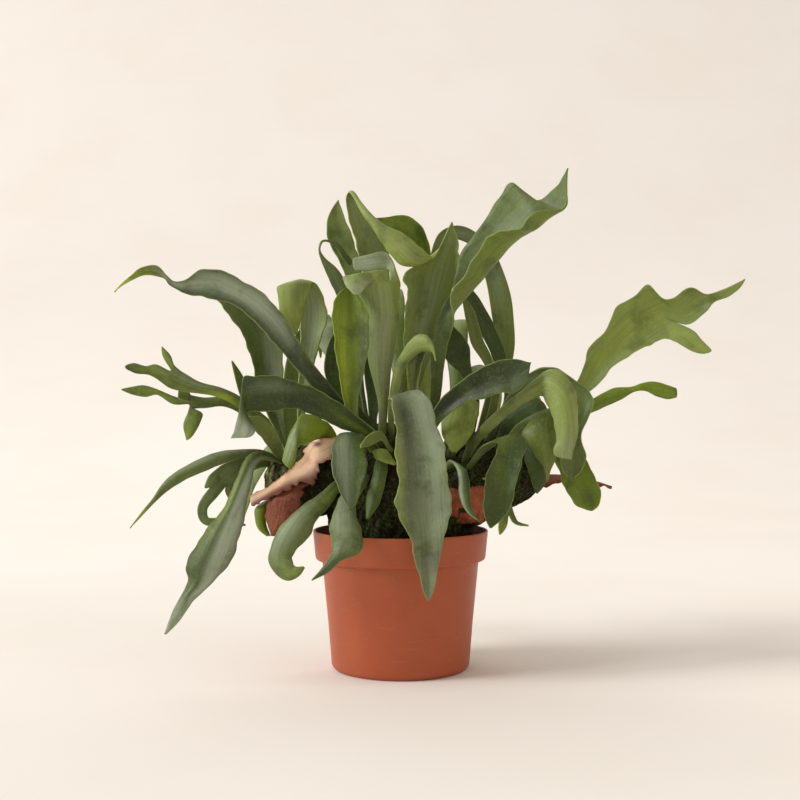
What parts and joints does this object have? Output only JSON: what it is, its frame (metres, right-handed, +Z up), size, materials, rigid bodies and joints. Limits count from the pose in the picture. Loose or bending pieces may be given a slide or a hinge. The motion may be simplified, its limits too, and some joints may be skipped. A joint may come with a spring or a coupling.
{
  "type": "potted staghorn fern",
  "caption": "Staghorn fern with arching, forked, grey-green antler fronds and dry papery shield fronds, growing from a fibrous crown in a round plastic nursery pot.",
  "frame": {"origin": "middle of the pot's flat base, on the surface that it stands on", "axes": "+Z up; +X to the right and +Y away from the viewer, with the plant seen from the front"},
  "size_m": [0.4316, 0.2371, 0.3451],
  "materials": {
    "pot": "satin moulded plastic, terracotta coloured",
    "soil": "loose dark peat, dry and fibrous",
    "crown": "matt fibrous rootstock",
    "leaf_silver": "leathery leaf with a silvery bloom",
    "leaf_grey": "leathery grey-green leaf with a bloom",
    "leaf_olive": "leathery olive-green leaf",
    "leaf_deep": "leathery deep green leaf",
    "leaf_bright": "fresh yellow-green leaf",
    "leaf_pale": "pale young leaf",
    "shield_dried_tan": "dry papery shield frond, tan",
    "shield_dried_russet": "dry papery shield frond, red-brown"
  },
  "bodies": {
    "root": {"pot": "pot", "soil": "soil", "crown": "crown", "front_hanging": "leaf_silver", "front_left_short": "leaf_deep", "front_left_folded": "leaf_olive", "front_left_curled": "leaf_deep", "long_left": "leaf_silver", "dark_left": "leaf_deep", "left_drooping": "leaf_deep", "left_arching": "leaf_grey", "left_cut": "leaf_deep", "left_antler_high": "leaf_olive", "left_antler_low": "leaf_olive", "left_slender": "leaf_olive", "left_olive": "leaf_olive", "left_back_tall": "leaf_deep", "left_arch": "leaf_grey", "loop": "leaf_grey", "pale_pointed": "leaf_pale", "hairpin": "leaf_pale", "dark_arch": "leaf_bright", "olive_flared": "leaf_olive", "bright_front": "leaf_bright", "behind_bright": "leaf_deep", "small_arch": "leaf_pale", "broad_pointed": "leaf_olive", "channel": "leaf_silver", "right_tall_arch": "leaf_olive", "right_inner_a": "leaf_olive", "right_inner_b": "leaf_deep", "dark_behind": "leaf_deep", "dark_right": "leaf_deep", "olive_under": "leaf_olive", "right_hook": "leaf_olive", "right_round_tip": "leaf_grey", "right_speckled": "leaf_bright", "right_blunt": "leaf_bright", "right_taper": "leaf_olive", "front_right": "leaf_grey", "front_right_forked": "leaf_olive", "pale_edged": "leaf_deep", "right_dark_hanging": "leaf_deep", "right_low_round": "leaf_bright", "center_twist": "leaf_pale", "center_low": "leaf_olive", "center_dark_hanging": "leaf_deep", "back_left_tall": "leaf_grey", "back_centre": "leaf_olive", "back_right": "leaf_olive", "back_low_left": "leaf_grey", "back_low_right": "leaf_silver", "back_drop": "leaf_deep", "shield_living": "leaf_bright", "shield_right_edge": "shield_dried_russet", "shield_living_low": "leaf_bright", "shield_tan": "shield_dried_tan", "shield_brown_left": "shield_dried_russet", "shield_brown_right": "shield_dried_russet", "shield_back": "shield_dried_tan"}
  },
  "joints": []
}
